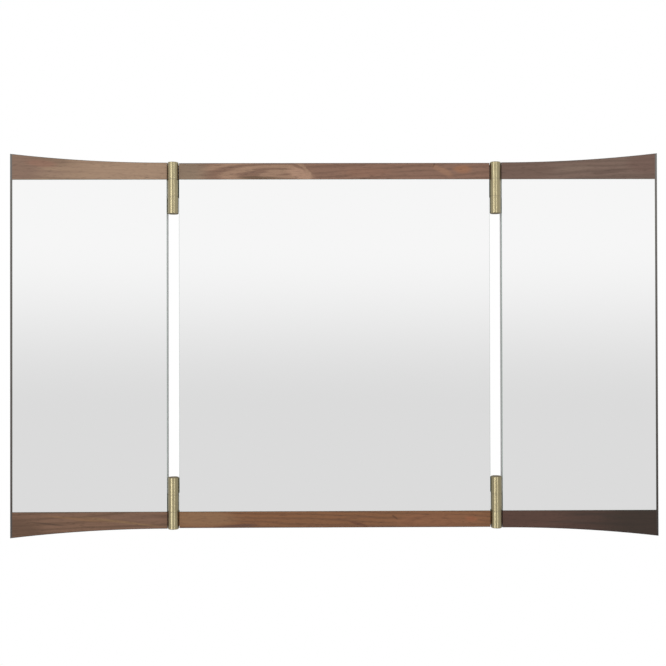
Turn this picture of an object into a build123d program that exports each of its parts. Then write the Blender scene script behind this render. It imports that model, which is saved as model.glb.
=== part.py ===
from build123d import *
from dataclasses import dataclass
import os

# A folding three-panel wall mirror, in millimetres. The centre panel hangs on a wall cleat, and a
# wing swings on two barrel hinges at each side of it. The wall is the plane Y = 0, the glass faces
# -Y and +Z is up. The origin is the middle of the line of wall screws.
#
# A depth is a distance out from the wall, so Y is minus the depth. A height is counted from the
# level of the mirror's middle, up at the upper end (end = 1) and down at the lower end (end = -1).
# A side is -1 for the left wing and 1 for the right wing, as seen from the front.

# Panels
glass_height = 605.0
centre_width = 566.0
wing_width = 285.0
glass_thickness = 4.0
glass_arris = 0.5
tape_thickness = 1.0
board_thickness = 13.0

# Rails, and the strip that closes a wing's outer edge
centre_rail_height = 29.5
wing_rail_height = 30.5
wing_flare = 16.4
rail_ease = 1.0
glass_rail_gap = 0.2
strip_width = 4.0

# Mirror tape, in upright strips
tape_width = 20.0
tape_side_margin = 14.0
tape_end_margin = 25.0
centre_tape_count = 5
wing_tape_count = 3

# Dowels between the rails and the boards
dowel_radius = 4.0
dowel_length = 30.0
dowel_chamfer = 0.6
dowel_clearance = 0.05
dowel_end_gap = 1.0
dowel_side_gap = 22.0
centre_dowel_count = 5
wing_dowel_count = 3

# Hinge barrels
hinge_gap = 22.0
barrel_side_gap = 1.0
axis_setback = 2.0
barrel_overshoot = 1.4
knuckle_length = 30.8
knuckle_rim = 0.15
barrel_rim = 0.9
washer_thickness = 0.7
washer_setback = 0.3
axial_play = 0.05
pin_radius = 5.0
pin_chamfer = 0.5
running_clearance = 0.05
fixed_clearance = 0.02
plug_step = 1.5
plug_length = 4.0
plug_recess = 0.3

# Hinge leaves
leaf_thickness = 3.0
leaf_proud = 0.5
leaf_reach = 40.0
leaf_end_margin = 3.0
leaf_corner = 3.0
leaf_fit = 0.2
leaf_screw_edge = 9.0
neck_clearance = 1.0

# Screws, countersunk at a right angle
screw_clearance = 0.1
screw_cover = 2.5
screw_tip = 3.0
screw_recess_width = 0.8
screw_recess_depth = 1.2
leaf_screw_radius = 1.75
leaf_screw_head = 3.4
cleat_screw_radius = 2.0
cleat_screw_head = 4.0
bumper_screw_radius = 1.75
bumper_screw_head = 3.4

# Wall cleat and panel cleat, meeting on a bevel at 45 degrees
standoff = 16.0
screw_line_drop = 70.0
cleat_clearance = 1.0
cleat_side_gap = 12.0
cleat_tip = 1.5
wall_cleat_below = 16.0
wall_cleat_above = 12.0
wall_screw_radius = 2.5
wall_screw_head = 5.0
wall_screw_count = 4
wall_screw_margin = 36.0
panel_cleat_land = 24.0
panel_screw_count = 5
panel_screw_margin = 22.0

# Bumpers
bumper_radius = 10.0
bumper_tip_radius = 8.5
bumper_rim = 1.0
bumper_floor = 7.0
bumper_side_gap = 22.0
bumper_rail_gap = 40.0
wing_bumper_edge = 36.0

# Depths from the wall
board_depth = standoff
tape_depth = board_depth + board_thickness
glass_depth = tape_depth + tape_thickness
front_depth = glass_depth + glass_thickness
panel_thickness = front_depth - standoff
axis_depth = front_depth - axis_setback
dowel_depth = board_depth + board_thickness / 2
leaf_depth = standoff - leaf_proud
recess_depth = leaf_thickness - leaf_proud
bumper_screw_depth = standoff - bumper_floor

# Lengths of screws, which stop short of the board's front
leaf_screw_length = tape_depth - leaf_depth - screw_cover
cleat_screw_length = tape_depth - cleat_clearance - screw_cover
bumper_screw_length = tape_depth - bumper_screw_depth - screw_cover

# Places along X, for the right-hand side
centre_edge_x = centre_width / 2
axis_x = centre_edge_x + hinge_gap / 2
wing_edge_x = centre_edge_x + hinge_gap
strip_x = wing_edge_x + wing_width - strip_width
outer_x = wing_edge_x + wing_width
leaf_end_x = centre_edge_x - leaf_reach
centre_dowel_x = leaf_end_x - dowel_side_gap
centre_bumper_x = leaf_end_x - bumper_side_gap
cleat_end_x = leaf_end_x - cleat_side_gap
wing_bumper_x = strip_x - wing_bumper_edge

# Heights from the mirror's middle, which is this far above the origin
middle_z = screw_line_drop - glass_height / 2
glass_edge = glass_height / 2
centre_rail_edge = glass_edge + centre_rail_height
wing_rail_edge = glass_edge + wing_rail_height
corner_height = wing_rail_edge + wing_flare
bumper_height = glass_edge - bumper_rail_gap

# Barrel of the hinge
barrel_radius = hinge_gap / 2 - barrel_side_gap
barrel_end = centre_rail_edge + barrel_overshoot
knuckle_pitch = knuckle_length + washer_thickness + axial_play
barrel_start = barrel_end - 2 * knuckle_pitch - knuckle_length
plug_radius = pin_radius + plug_step
leaf_end = centre_rail_edge - leaf_end_margin
leaf_start = barrel_start + leaf_end_margin


@dataclass
class Panel:
    """A panel's name, its glass's ends along X, the sides that carry hinges and what is set behind it."""

    name: str
    left_x: float
    right_x: float
    hinge_sides: tuple
    tape_count: int
    dowels: list
    bumpers: list


def spread(first, last, count):
    """Evenly spaced values from first to last."""
    step = (last - first) / (count - 1)
    return [first + step * index for index in range(count)]


def level(end, height):
    """The Z of a height from the mirror's middle, towards one end."""
    return middle_z + end * height


def facing_wall(x, depth, z):
    """A plane at a place behind the mirror, looking at the wall."""
    return Plane(origin=(x, -depth, z), x_dir=(1, 0, 0), z_dir=(0, 1, 0))


def span(x1, x2, z1, z2, mode=Mode.ADD):
    """A rectangle between two corners, in the sketch that is open."""
    with Locations(((x1 + x2) / 2, (z1 + z2) / 2)):
        Rectangle(abs(x2 - x1), abs(z2 - z1), mode=mode)


def keep(piece, name):
    """Names a finished piece and writes it."""
    piece.part.label = name
    export_step(piece.part, f"parts/{name}.step")


def countersunk_screw(length, radius, head_radius):
    """A wood screw with a cross recess, its head's top at the origin and its tip down the Z axis."""
    with BuildPart() as screw:
        with BuildSketch(Plane.XZ):
            with BuildLine():
                Polyline(
                    (0, 0),
                    (head_radius, 0),
                    (radius, radius - head_radius),
                    (radius, screw_tip - length),
                    (0, -length),
                    close=True,
                )
            make_face()
        revolve(axis=Axis.Z)
        with BuildSketch(Plane.XY):
            Rectangle(head_radius, screw_recess_width)
            Rectangle(screw_recess_width, head_radius)
        extrude(amount=-screw_recess_depth, mode=Mode.SUBTRACT)
    return screw.part


def screw_set(name, screw, places):
    """Copies of one screw at several places."""
    with BuildPart() as screws:
        with Locations(*places):
            add(screw)
    keep(screws, name)


def bore_for_screws(places, length, radius):
    """Cuts holes for screws' shanks in the piece that is open, each from its head's plane."""
    with Locations(*places):
        Hole(radius + screw_clearance, depth=length + screw_clearance)


def panel_outline(panel):
    """A panel seen from the front: the centre is a rectangle, and a wing flares on two arcs."""
    with BuildSketch() as outline:
        if len(panel.hinge_sides) == 2:
            span(panel.left_x, panel.right_x, level(1, centre_rail_edge), level(-1, centre_rail_edge))
        else:
            side = panel.hinge_sides[0]
            with BuildLine():
                upper = TangentArc(
                    (side * wing_edge_x, level(1, wing_rail_edge)),
                    (side * outer_x, level(1, corner_height)),
                    tangent=(side, 0),
                )
                lower = TangentArc(
                    (side * wing_edge_x, level(-1, wing_rail_edge)),
                    (side * outer_x, level(-1, corner_height)),
                    tangent=(side, 0),
                )
                Line(upper @ 0, lower @ 0)
                Line(upper @ 1, lower @ 1)
            make_face()
    return outline.sketch


def leaf_plate(side, way, end, fit=0):
    """The flat of a hinge leaf: from the edge of its panel inwards, with its far corners rounded.

    The way is 1 where the panel lies to the right of the barrel and -1 where it lies to the left.
    """
    panel_edge = side * axis_x + way * hinge_gap / 2
    with BuildSketch() as plate:
        span(
            panel_edge,
            panel_edge + way * (leaf_reach + fit),
            level(end, leaf_start - fit),
            level(end, leaf_end + fit),
        )
        far_corners = plate.vertices().sort_by(Axis.X)
        fillet(far_corners[-2:] if way > 0 else far_corners[:2], leaf_corner)
    return plate.sketch


def leaf_screw_places(side, way, end):
    """Planes at the heads of one leaf's four screws."""
    panel_edge = side * axis_x + way * hinge_gap / 2
    columns = [leaf_screw_edge, leaf_reach - leaf_screw_edge]
    rows = [leaf_start + leaf_screw_edge, leaf_end - leaf_screw_edge]
    return [
        facing_wall(panel_edge + way * column, leaf_depth, level(end, row))
        for column in columns
        for row in rows
    ]


def leaf_seats(panel):
    """The side, way and end of each leaf on a panel."""
    seats = []
    for side in panel.hinge_sides:
        way = -side if len(panel.hinge_sides) == 2 else side
        seats += [(side, way, 1), (side, way, -1)]
    return seats


def panel_leaf_screws(panel):
    """Planes at the heads of all the leaf screws in a panel."""
    return [place for seat in leaf_seats(panel) for place in leaf_screw_places(*seat)]


def cut_leaf_recesses(panel):
    """Lets a panel's leaves and their screws into the back of the board or rail that is open."""
    for seat in leaf_seats(panel):
        with BuildSketch(Plane.XZ.offset(standoff)) as recess:
            add(leaf_plate(*seat, fit=leaf_fit))
        extrude(recess.sketch, amount=recess_depth, mode=Mode.SUBTRACT)
    bore_for_screws(panel_leaf_screws(panel), leaf_screw_length, leaf_screw_radius)


def cut_dowel_holes(panel, end):
    """Bores both halves of the dowel holes across the joint at one end of a panel's glass."""
    reach = dowel_length / 2 + dowel_end_gap
    with BuildSketch(Plane.XY.offset(level(end, glass_edge))) as holes:
        with Locations(*[(x, -dowel_depth) for x in panel.dowels]):
            Circle(dowel_radius + dowel_clearance)
    extrude(holes.sketch, amount=reach, both=True, mode=Mode.SUBTRACT)


def make_glass(panel):
    """Mirror glass between the rails, its front edges ground to a small arris."""
    edge = glass_edge - glass_rail_gap
    with BuildPart() as glass:
        with BuildSketch(Plane.XZ.offset(glass_depth)):
            span(panel.left_x, panel.right_x, level(1, edge), level(-1, edge))
        extrude(amount=glass_thickness)
        chamfer(glass.faces().sort_by(Axis.Y)[0].edges(), glass_arris)
    keep(glass, f"{panel.name}_glass")


def make_tape(panel):
    """Upright strips of mirror tape between the glass and the board."""
    margin = tape_side_margin + tape_width / 2
    edge = glass_edge - tape_end_margin
    with BuildPart() as tape:
        with BuildSketch(Plane.XZ.offset(tape_depth)):
            for x in spread(panel.left_x + margin, panel.right_x - margin, panel.tape_count):
                span(x - tape_width / 2, x + tape_width / 2, level(1, edge), level(-1, edge))
        extrude(amount=tape_thickness)
    keep(tape, f"{panel.name}_glass_tape")


def make_backboard(panel):
    """The board behind the glass, recessed for the hinge leaves and bored for dowels and screws."""
    with BuildPart() as board:
        with BuildSketch(Plane.XZ.offset(board_depth)):
            span(panel.left_x, panel.right_x, level(1, glass_edge), level(-1, glass_edge))
        extrude(amount=board_thickness)
        cut_leaf_recesses(panel)
        cut_dowel_holes(panel, 1)
        cut_dowel_holes(panel, -1)
        bore_for_screws(bumper_screw_places(panel), bumper_screw_length, bumper_screw_radius)
        if len(panel.hinge_sides) == 2:
            bore_for_screws(panel_screw_places, cleat_screw_length, cleat_screw_radius)
    keep(board, f"{panel.name}_backboard")


def make_rail(panel, end):
    """A solid rail at one end of a panel, with a small bevel on its two long outer edges."""
    with BuildPart() as rail:
        with BuildSketch(Plane.XZ.offset(standoff)):
            add(panel_outline(panel))
            span(
                panel.left_x,
                panel.right_x,
                level(end, glass_edge),
                level(end, corner_height),
                mode=Mode.INTERSECT,
            )
        extrude(amount=panel_thickness)
        outer_face = rail.faces().sort_by(Axis.Z)[-1 if end > 0 else 0]
        chamfer(outer_face.edges().sort_by(SortBy.LENGTH)[-2:], rail_ease)
        cut_leaf_recesses(panel)
        cut_dowel_holes(panel, end)
    keep(rail, f"{panel.name}_{'top' if end > 0 else 'bottom'}_rail")


def make_strip(panel, side):
    """The thin strip that closes a wing's outer edge from corner to corner, bevelled as the rails are."""
    with BuildPart() as strip:
        with BuildSketch(Plane.XZ.offset(standoff)):
            add(panel_outline(panel))
            span(
                side * strip_x,
                side * outer_x,
                level(1, corner_height),
                level(-1, corner_height),
                mode=Mode.INTERSECT,
            )
        extrude(amount=panel_thickness)
        outer_face = strip.faces().sort_by(Axis.X)[-1 if side > 0 else 0]
        upright_edges = outer_face.edges().filter_by(Axis.Z)
        arc_edges = strip.edges().filter_by(GeomType.CIRCLE)
        chamfer(upright_edges + arc_edges, rail_ease)
    keep(strip, f"{panel.name}_edge_strip")


def make_dowels(panel):
    """Beech dowels, half in a rail and half in the board."""
    with BuildPart() as dowels:
        for end in (1, -1):
            with BuildSketch(Plane.XY.offset(level(end, glass_edge))) as sections:
                with Locations(*[(x, -dowel_depth) for x in panel.dowels]):
                    Circle(dowel_radius)
            extrude(sections.sketch, amount=dowel_length / 2, both=True)
        chamfer(dowels.edges().filter_by(GeomType.CIRCLE), dowel_chamfer)
    keep(dowels, f"{panel.name}_dowels")


def bumper_screw_places(panel):
    """Planes at the heads of a panel's bumper screws."""
    return [facing_wall(x, bumper_screw_depth, z) for x, z in panel.bumpers]


def make_bumpers(panel):
    """Tapered rubber bumpers that just meet the wall, each with a well for its screw."""
    with BuildPart() as bumpers:
        for x, z in panel.bumpers:
            with BuildSketch(Plane.XZ.offset(standoff)):
                with Locations((x, z)):
                    Circle(bumper_radius)
            with BuildSketch(Plane.XZ):
                with Locations((x, z)):
                    Circle(bumper_tip_radius)
            loft()
        tip_rims = bumpers.edges().filter_by(GeomType.CIRCLE).group_by(Axis.Y)[-1]
        chamfer(tip_rims, bumper_rim)
        with Locations(*bumper_screw_places(panel)):
            CounterSinkHole(
                bumper_screw_radius + screw_clearance,
                bumper_screw_head + screw_clearance,
                counter_sink_angle=90,
            )
    keep(bumpers, f"{panel.name}_bumpers")


def knuckle_outer(index):
    """The height of a knuckle's outer end. Knuckle 0 stands beside the rail's outer edge."""
    return barrel_end - index * knuckle_pitch


def neck_levels(end, index):
    """The two levels between which a knuckle is joined to its leaf."""
    outer = min(knuckle_outer(index), leaf_end)
    inner = max(knuckle_outer(index) - knuckle_length, leaf_start)
    return level(end, outer), level(end, inner)


def neck_end_x(side, way, index):
    """Where a neck ends along X. The one beside the rails crosses the gap and closes its back."""
    past_axis = hinge_gap / 2 - neck_clearance if index == 0 else leaf_thickness / 2
    return side * axis_x - way * past_axis


def make_leaf(name, side, way, end, knuckles):
    """A hinge leaf: its plate, the necks behind the gap, their webs and the knuckles, bored for the pin."""
    alone = len(knuckles) == 1
    bore_radius = pin_radius + (running_clearance if alone else fixed_clearance)
    screw_places = leaf_screw_places(side, way, end)
    near_x = side * axis_x + way * (hinge_gap / 2 + leaf_corner)
    edge_x = side * axis_x + way * (hinge_gap / 2 - leaf_fit)
    with BuildPart() as leaf:
        with BuildSketch(Plane.XZ.offset(leaf_depth)):
            add(leaf_plate(side, way, end))
            for index in knuckles:
                span(near_x, neck_end_x(side, way, index), *neck_levels(end, index))
            if 0 in knuckles:
                # The outer neck goes on to the rails' bevels, inside the gap alone
                low, high = leaf_end - leaf_corner, centre_rail_edge - rail_ease
                span(edge_x, neck_end_x(side, way, 0), level(end, low), level(end, high))
        extrude(amount=leaf_thickness)
        # Webs that carry the knuckles forward from the necks
        with BuildSketch(Plane.XZ.offset(leaf_depth)):
            for index in knuckles:
                web_x = side * axis_x - leaf_thickness / 2
                span(web_x, web_x + leaf_thickness, *neck_levels(end, index))
        extrude(amount=axis_depth - leaf_depth)
        for index in knuckles:
            outer = knuckle_outer(index)
            inner = outer - knuckle_length
            outer_rim = barrel_rim if index == 0 else knuckle_rim
            inner_rim = barrel_rim if index == 2 else knuckle_rim
            with BuildSketch(Plane.XZ.offset(axis_depth)):
                with BuildLine():
                    Polyline(
                        (side * axis_x, level(end, outer)),
                        (side * axis_x + barrel_radius - outer_rim, level(end, outer)),
                        (side * axis_x + barrel_radius, level(end, outer - outer_rim)),
                        (side * axis_x + barrel_radius, level(end, inner + inner_rim)),
                        (side * axis_x + barrel_radius - inner_rim, level(end, inner)),
                        (side * axis_x, level(end, inner)),
                        close=True,
                    )
                make_face()
            revolve(axis=Axis((side * axis_x, -axis_depth, 0), (0, 0, 1)))
        with BuildSketch(Plane.XY.offset(level(end, barrel_end))) as bore:
            with Locations((side * axis_x, -axis_depth)):
                Circle(bore_radius)
        extrude(bore.sketch, amount=end * (barrel_start - barrel_end), mode=Mode.SUBTRACT)
        if not alone:
            for start, inwards in ((barrel_end, -end), (barrel_start, end)):
                with BuildSketch(Plane.XY.offset(level(end, start))) as pocket:
                    with Locations((side * axis_x, -axis_depth)):
                        Circle(plug_radius + fixed_clearance)
                extrude(pocket.sketch, amount=inwards * plug_length, mode=Mode.SUBTRACT)
        with Locations(*screw_places):
            CounterSinkHole(
                leaf_screw_radius + screw_clearance,
                leaf_screw_head + screw_clearance,
                counter_sink_angle=90,
            )
    keep(leaf, name)


def make_pin(name, side, end):
    """The hinge pin, between the two end plugs."""
    length = barrel_end - barrel_start - 2 * plug_length
    with BuildPart() as pin:
        with BuildSketch(Plane.XY.offset(level(end, barrel_end - plug_length))):
            with Locations((side * axis_x, -axis_depth)):
                Circle(pin_radius)
        extrude(amount=-end * length)
        chamfer(pin.edges().filter_by(GeomType.CIRCLE), pin_chamfer)
    keep(pin, name)


def make_washers(name, side, end):
    """Thrust washers on the inner faces of the two outer knuckles, set back from the barrel's skin."""
    faces = ((knuckle_outer(0) - knuckle_length, -end), (knuckle_outer(2), end))
    with BuildPart() as washers:
        for height, away in faces:
            with BuildSketch(Plane.XY.offset(level(end, height))) as ring:
                with Locations((side * axis_x, -axis_depth)):
                    Circle(barrel_radius - washer_setback)
                    Circle(pin_radius + screw_clearance, mode=Mode.SUBTRACT)
            extrude(ring.sketch, amount=away * washer_thickness)
    keep(washers, name)


def make_plugs(name, side, end):
    """Round plugs that close both ends of the barrel, a little below its end faces."""
    with BuildPart() as plugs:
        for height, away in ((barrel_end - plug_length, end), (barrel_start + plug_length, -end)):
            with BuildSketch(Plane.XY.offset(level(end, height))) as disc:
                with Locations((side * axis_x, -axis_depth)):
                    Circle(plug_radius)
            extrude(disc.sketch, amount=away * (plug_length - plug_recess))
    keep(plugs, name)


def make_hinge(side, end):
    """One barrel hinge. The upper ones have two knuckles on the wing, and the lower ones are turned over."""
    name = f"{'upper' if end > 0 else 'lower'}_{'right' if side > 0 else 'left'}"
    wing_knuckles = (0, 2) if end > 0 else (1,)
    centre_knuckles = (1,) if end > 0 else (0, 2)
    make_leaf(f"{name}_wing_leaf", side, side, end, wing_knuckles)
    make_leaf(f"{name}_centre_leaf", side, -side, end, centre_knuckles)
    make_pin(f"{name}_pin", side, end)
    make_washers(f"{name}_washers", side, end)
    make_plugs(f"{name}_end_plugs", side, end)


def make_wall_cleat():
    """The strip screwed to the wall, its top edge bevelled down towards the wall."""
    thickness = standoff - cleat_clearance
    tip_height = wall_cleat_above + thickness - cleat_tip
    with BuildPart() as cleat:
        with BuildSketch(Plane.YZ):
            with BuildLine():
                Polyline(
                    (0, -wall_cleat_below),
                    (0, wall_cleat_above),
                    (cleat_tip - thickness, tip_height),
                    (-thickness, tip_height),
                    (-thickness, -wall_cleat_below),
                    close=True,
                )
            make_face()
        extrude(amount=cleat_end_x, both=True)
        with Locations(*wall_screw_places):
            CounterSinkHole(wall_screw_radius, wall_screw_head, counter_sink_angle=90)
    keep(cleat, "wall_cleat")


def make_panel_cleat():
    """The strip on the back of the centre panel that hooks over the wall cleat."""
    hook_height = wall_cleat_above + cleat_clearance + cleat_tip
    bevel_top = wall_cleat_above + standoff
    with BuildPart() as cleat:
        with BuildSketch(Plane.YZ):
            with BuildLine():
                Polyline(
                    (-standoff, bevel_top),
                    (-standoff, bevel_top + panel_cleat_land),
                    (-cleat_clearance, bevel_top + panel_cleat_land),
                    (-cleat_clearance, hook_height),
                    (-cleat_clearance - cleat_tip, hook_height),
                    close=True,
                )
            make_face()
        extrude(amount=cleat_end_x, both=True)
        with Locations(*panel_screw_places):
            CounterSinkHole(
                cleat_screw_radius + screw_clearance,
                cleat_screw_head + screw_clearance,
                counter_sink_angle=90,
            )
    keep(cleat, "panel_cleat")


def make_panel(panel):
    """A panel and everything that is fixed to it except its hinges and cleat."""
    make_glass(panel)
    make_tape(panel)
    make_backboard(panel)
    make_rail(panel, 1)
    make_rail(panel, -1)
    make_dowels(panel)
    make_bumpers(panel)
    leaf_screw = countersunk_screw(leaf_screw_length, leaf_screw_radius, leaf_screw_head)
    bumper_screw = countersunk_screw(bumper_screw_length, bumper_screw_radius, bumper_screw_head)
    screw_set(f"{panel.name}_leaf_screws", leaf_screw, panel_leaf_screws(panel))
    screw_set(f"{panel.name}_bumper_screws", bumper_screw, bumper_screw_places(panel))


# Dowels of a wing, clear of its hinge leaves
wing_dowels = spread(wing_edge_x + leaf_reach + dowel_side_gap, strip_x - dowel_side_gap, wing_dowel_count)

# Screws of the two cleats, spread evenly along them
wall_screw_x = cleat_end_x - wall_screw_margin
wall_screw_places = [
    Plane(origin=(x, cleat_clearance - standoff, 0), x_dir=(1, 0, 0), z_dir=(0, -1, 0))
    for x in spread(-wall_screw_x, wall_screw_x, wall_screw_count)
]
panel_screw_x = cleat_end_x - panel_screw_margin
panel_screw_z = wall_cleat_above + standoff + panel_cleat_land / 2
panel_screw_places = [
    facing_wall(x, cleat_clearance, panel_screw_z)
    for x in spread(-panel_screw_x, panel_screw_x, panel_screw_count)
]

centre = Panel(
    name="centre",
    left_x=-centre_edge_x,
    right_x=centre_edge_x,
    hinge_sides=(-1, 1),
    tape_count=centre_tape_count,
    dowels=spread(-centre_dowel_x, centre_dowel_x, centre_dowel_count),
    bumpers=[(side * centre_bumper_x, level(-1, bumper_height)) for side in (-1, 1)],
)
left = Panel(
    name="left",
    left_x=-strip_x,
    right_x=-wing_edge_x,
    hinge_sides=(-1,),
    tape_count=wing_tape_count,
    dowels=[-x for x in wing_dowels],
    bumpers=[(-wing_bumper_x, level(end, bumper_height)) for end in (1, -1)],
)
right = Panel(
    name="right",
    left_x=wing_edge_x,
    right_x=strip_x,
    hinge_sides=(1,),
    tape_count=wing_tape_count,
    dowels=wing_dowels,
    bumpers=[(wing_bumper_x, level(end, bumper_height)) for end in (1, -1)],
)

os.makedirs("parts", exist_ok=True)
for panel in (centre, left, right):
    make_panel(panel)
make_strip(left, -1)
make_strip(right, 1)
make_wall_cleat()
make_panel_cleat()
screw_set(
    "panel_cleat_screws",
    countersunk_screw(cleat_screw_length, cleat_screw_radius, cleat_screw_head),
    panel_screw_places,
)
for hinge_side in (-1, 1):
    for hinge_end in (1, -1):
        make_hinge(hinge_side, hinge_end)
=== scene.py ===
import math

import bmesh
import bpy
from bpy.props import FloatProperty, FloatVectorProperty, PointerProperty
from mathutils import Euler, Matrix, Vector


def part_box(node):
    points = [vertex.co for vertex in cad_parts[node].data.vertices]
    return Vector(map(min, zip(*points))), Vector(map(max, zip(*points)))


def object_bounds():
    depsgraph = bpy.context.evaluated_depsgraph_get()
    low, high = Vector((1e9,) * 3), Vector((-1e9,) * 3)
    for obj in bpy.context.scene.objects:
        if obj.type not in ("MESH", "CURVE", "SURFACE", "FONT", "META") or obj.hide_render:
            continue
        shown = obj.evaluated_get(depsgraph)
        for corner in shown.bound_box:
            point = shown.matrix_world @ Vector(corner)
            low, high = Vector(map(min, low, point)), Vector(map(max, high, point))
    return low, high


bl_info = {
    "name": "Folding wall mirror",
    "version": (1, 0, 0),
    "blender": (4, 5, 0),
    "location": "3D View > Sidebar > Folding mirror",
    "description": "Gives the three-panel wall mirror its wood, glass, brass and stage",
    "category": "Object",
}

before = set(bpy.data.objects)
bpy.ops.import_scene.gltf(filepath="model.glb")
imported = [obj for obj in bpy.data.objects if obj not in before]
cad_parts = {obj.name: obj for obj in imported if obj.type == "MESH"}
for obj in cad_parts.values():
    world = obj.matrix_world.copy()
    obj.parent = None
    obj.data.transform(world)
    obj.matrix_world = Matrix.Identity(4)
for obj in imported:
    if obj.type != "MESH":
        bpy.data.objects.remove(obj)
cad_low, cad_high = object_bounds()

# The glass and the rails look along -Y. The mirror's middle is below the line of wall screws.
FRONT_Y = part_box("centre_glass")[0].y
MIDDLE_Z = (cad_low.z + cad_high.z) / 2
PANELS = ("centre", "left", "right")
CORNERS = ("upper_left", "upper_right", "lower_left", "lower_right")

# The mirror shows a pale wall, dim up to just below the horizon and bright from just above it.
# Heights are in degrees above the horizon, and a light of 1 is white.
WALL_DIM_TO, WALL_BRIGHT_FROM = -4.5, 6.0
WALL_DIM, WALL_BRIGHT = 0.762, 0.991
FILL_LIGHT = 0.60

# The floor, in metres, fades to the studio's white between two distances from the middle
FLOOR_RADIUS = 6.0
FLOOR_FADES_FROM, FLOOR_WHITE_AT = 0.9, 1.8

# A ring texture of this scale has one ring in a unit length
ONE_RING = 0.314


def linear(hex_colour):
    """An sRGB hex colour as linear red, green, blue and full alpha."""
    parts = [int(hex_colour[at : at + 2], 16) / 255 for at in (1, 3, 5)]
    curve = [p / 12.92 if p <= 0.04045 else ((p + 0.055) / 1.055) ** 2.4 for p in parts]
    return (*curve, 1.0)


def colour_of(prop):
    """A colour property as linear red, green, blue and full alpha."""
    return (*prop, 1.0)


def add_node(tree, kind, inputs=None, ramp=None, **settings):
    """A new node with its settings. An input takes a plain value or another node's output."""
    node = tree.nodes.new(kind)
    for name, value in settings.items():
        setattr(node, name, value)
    for key, value in (inputs or {}).items():
        if isinstance(value, bpy.types.NodeSocket):
            tree.links.new(value, node.inputs[key])
        else:
            node.inputs[key].default_value = value
    if ramp:
        stops = node.color_ramp.elements
        while len(stops) < len(ramp):
            stops.new(1.0)
        for stop, (position, colour) in zip(stops, ramp):
            stop.position = position
            stop.color = colour
    return node


def new_material(name):
    """An empty material with its output: the material, its node tree and the output node."""
    material = bpy.data.materials.new(name)
    material.use_nodes = True
    tree = material.node_tree
    tree.nodes.clear()
    return material, tree, add_node(tree, "ShaderNodeOutputMaterial")


def dress(material, *names):
    """Gives CAD nodes a material in every slot they have."""
    for name in names:
        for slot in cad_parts[name].material_slots:
            slot.material = material


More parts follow.
